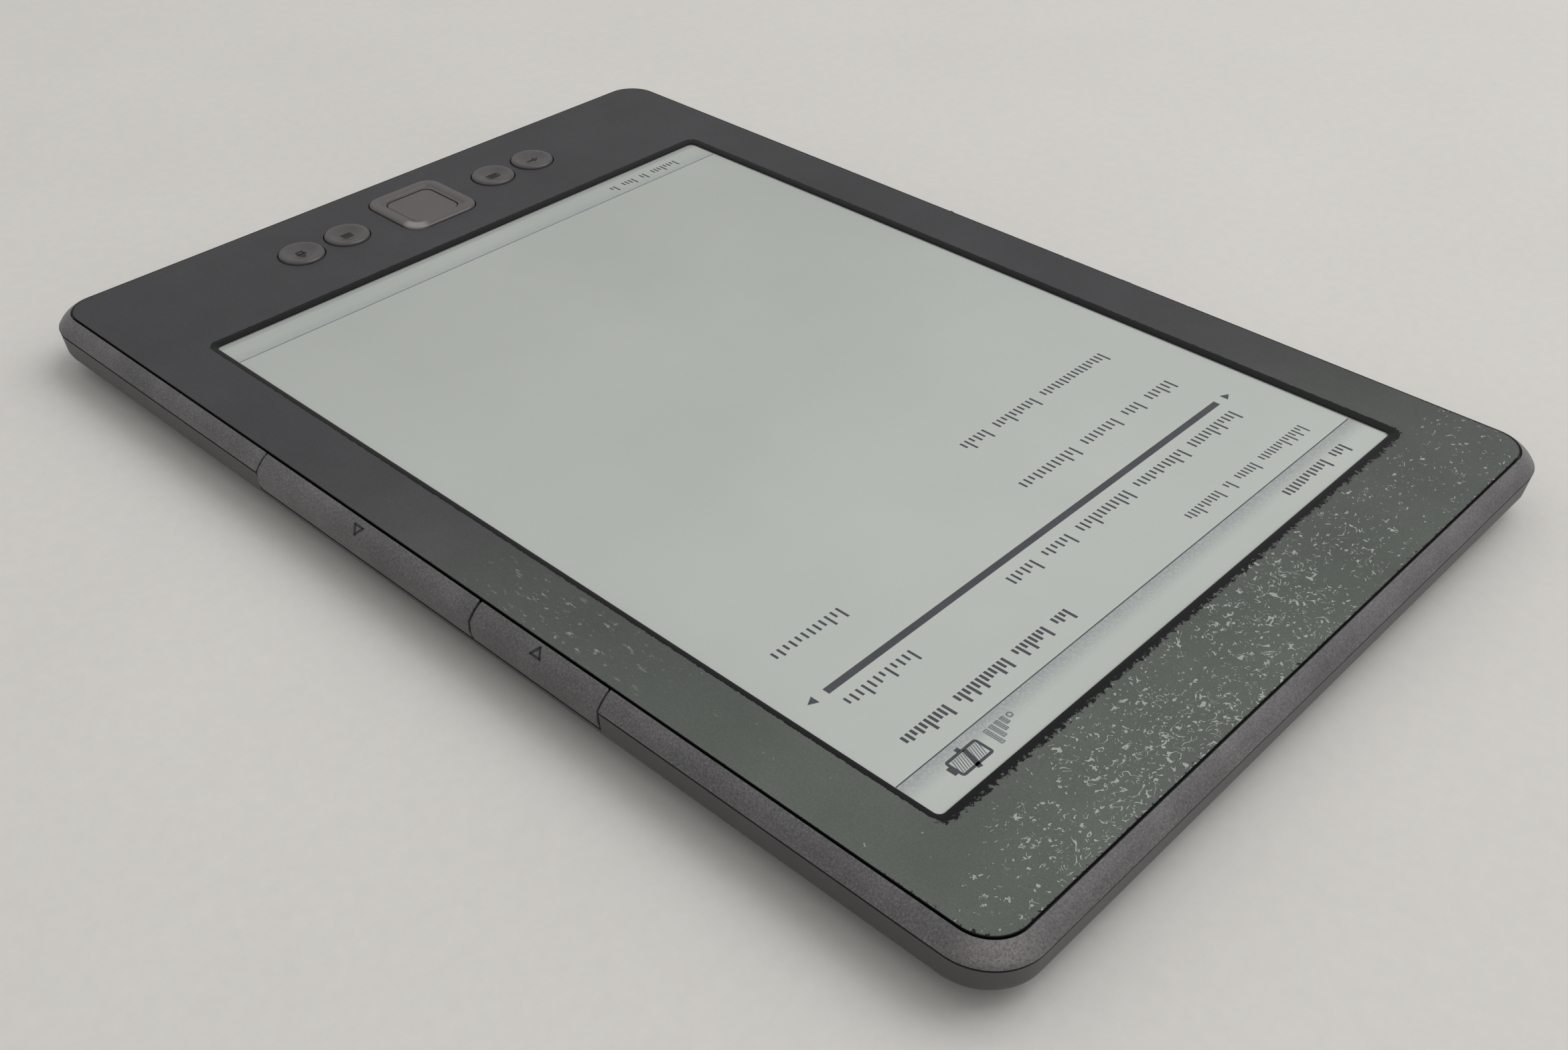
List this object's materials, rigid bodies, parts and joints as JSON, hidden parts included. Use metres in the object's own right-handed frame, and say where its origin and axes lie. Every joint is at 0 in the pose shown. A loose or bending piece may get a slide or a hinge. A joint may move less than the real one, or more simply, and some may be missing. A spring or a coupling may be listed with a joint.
{
  "type": "e-paper reader",
  "caption": "Flat tablet-shaped e-paper reader: bevelled rim, recessed screen, hinged side page keys, round chin keys around a square rocking control, and an end power button.",
  "frame": {"origin": "on the resting plane, under the middle of the body", "axes": "+X to the right side and +Y to the top end of the reader as it is read, +Z out of the screen"},
  "size_m": [0.114, 0.166, 0.0092],
  "materials": {
    "panel_coating": "satin graphite coating over a black plate",
    "rim_plastic": "fine speckled matte, moulded",
    "rear_plastic": "soft-touch matte",
    "key_plastic": "satin, worn on the high spots",
    "e_paper": "matt grey electronic paper",
    "display_glass": "thin backplane glass",
    "foam": "black foam",
    "chassis_metal": "cast light alloy",
    "circuit_board": "green solder mask",
    "chip_black": "moulded chip black",
    "steel": "plated sheet",
    "gold_contact": "gold plated",
    "flex_film": "amber flexible circuit",
    "battery_wrap": "wrapped cell",
    "light_pipe": "clear milky plastic",
    "silicone": "grey silicone"
  },
  "bodies": {
    "housing": {"rear_case": "rear_plastic", "front_frame": "rim_plastic", "front_panel": "panel_coating", "display_film": "e_paper", "display_glass": "display_glass", "window_gasket": "foam", "display_flex": "flex_film", "display_connector": "chip_black", "chassis": "chassis_metal", "chassis_screw_1": "steel", "chassis_screw_2": "steel", "chassis_screw_3": "steel", "chassis_screw_4": "steel", "battery_pack": "battery_wrap", "battery_screw_1": "steel", "battery_screw_2": "steel", "battery_screw_3": "steel", "battery_screw_4": "steel", "battery_plug": "silicone", "mainboard": "circuit_board", "board_screw_1": "steel", "board_screw_2": "steel", "board_screw_3": "steel", "board_screw_4": "steel", "shield_can": "steel", "processor": "chip_black", "memory_chip": "chip_black", "power_chip": "chip_black", "wireless_module": "steel", "antenna": "flex_film", "dome_sheet": "steel", "next_page_switch_right": "steel", "last_page_switch_right": "steel", "page_board_right": "circuit_board", "next_page_switch_left": "steel", "last_page_switch_left": "steel", "page_board_left": "circuit_board", "usb_socket": "steel", "usb_tongue": "chip_black", "power_switch": "steel", "charge_light": "light_pipe", "cover_contact_1": "gold_contact", "cover_contact_2": "gold_contact"},
    "nav_tilt_pad": {"nav_pad": "silicone"},
    "nav_tilt_ring": {"nav_ring": "key_plastic"},
    "select_push": {"select_key": "key_plastic"},
    "back_push": {"back_key": "key_plastic"},
    "keyboard_push": {"keyboard_key": "key_plastic"},
    "menu_push": {"menu_key": "key_plastic"},
    "home_push": {"home_key": "key_plastic"},
    "next_right": {"next_page_key_right": "rim_plastic"},
    "last_right": {"last_page_key_right": "rim_plastic"},
    "next_left": {"next_page_key_left": "rim_plastic"},
    "last_left": {"last_page_key_left": "rim_plastic"},
    "power_push": {"power_button": "key_plastic"}
  },
  "joints": [
    {"name": "back_key_press", "type": "slide", "parent": "housing", "child": "back_push", "axis": [0, 0, -1], "range_m": [0, 0.00035], "stiffness_N_per_m": 600, "springref_m": -0.00035},
    {"name": "keyboard_key_press", "type": "slide", "parent": "housing", "child": "keyboard_push", "axis": [0, 0, -1], "range_m": [0, 0.00035], "stiffness_N_per_m": 600, "springref_m": -0.00035},
    {"name": "menu_key_press", "type": "slide", "parent": "housing", "child": "menu_push", "axis": [0, 0, -1], "range_m": [0, 0.00035], "stiffness_N_per_m": 600, "springref_m": -0.00035},
    {"name": "home_key_press", "type": "slide", "parent": "housing", "child": "home_push", "axis": [0, 0, -1], "range_m": [0, 0.00035], "stiffness_N_per_m": 600, "springref_m": -0.00035},
    {"name": "select_key_press", "type": "slide", "parent": "housing", "child": "select_push", "axis": [0, 0, -1], "range_m": [0, 0.0003], "stiffness_N_per_m": 600, "springref_m": -0.0003},
    {"name": "power_button_press", "type": "slide", "parent": "housing", "child": "power_push", "axis": [0, 1, 0], "range_m": [0, 0.0004], "stiffness_N_per_m": 600, "springref_m": -0.0004},
    {"name": "nav_tilt_up_down", "type": "hinge", "parent": "housing", "child": "nav_tilt_pad", "pos_m": [0, -0.07, 0.0053], "axis": [1, 0, 0], "range_deg": [-1.6, 1.6], "stiffness_Nm_per_rad": 0.05},
    {"name": "nav_tilt_left_right", "type": "hinge", "parent": "nav_tilt_pad", "child": "nav_tilt_ring", "pos_m": [0, -0.07, 0.0053], "axis": [0, 1, 0], "range_deg": [-1.6, 1.6], "stiffness_Nm_per_rad": 0.05},
    {"name": "next_page_right_press", "type": "hinge", "parent": "housing", "child": "next_right", "pos_m": [0.0553, -0.0098, 0.0082], "axis": [0, 1, 0], "range_deg": [0, 4], "stiffness_Nm_per_rad": 0.03, "springref_deg": -4.01},
    {"name": "last_page_right_press", "type": "hinge", "parent": "housing", "child": "last_right", "pos_m": [0.0553, 0.0211, 0.0082], "axis": [0, 1, 0], "range_deg": [0, 4], "stiffness_Nm_per_rad": 0.03, "springref_deg": -4.01},
    {"name": "next_page_left_press", "type": "hinge", "parent": "housing", "child": "next_left", "pos_m": [-0.0553, -0.0098, 0.0082], "axis": [0, -1, 0], "range_deg": [0, 4], "stiffness_Nm_per_rad": 0.03, "springref_deg": -4.01},
    {"name": "last_page_left_press", "type": "hinge", "parent": "housing", "child": "last_left", "pos_m": [-0.0553, 0.0211, 0.0082], "axis": [0, -1, 0], "range_deg": [0, 4], "stiffness_Nm_per_rad": 0.03, "springref_deg": -4.01}
  ]
}
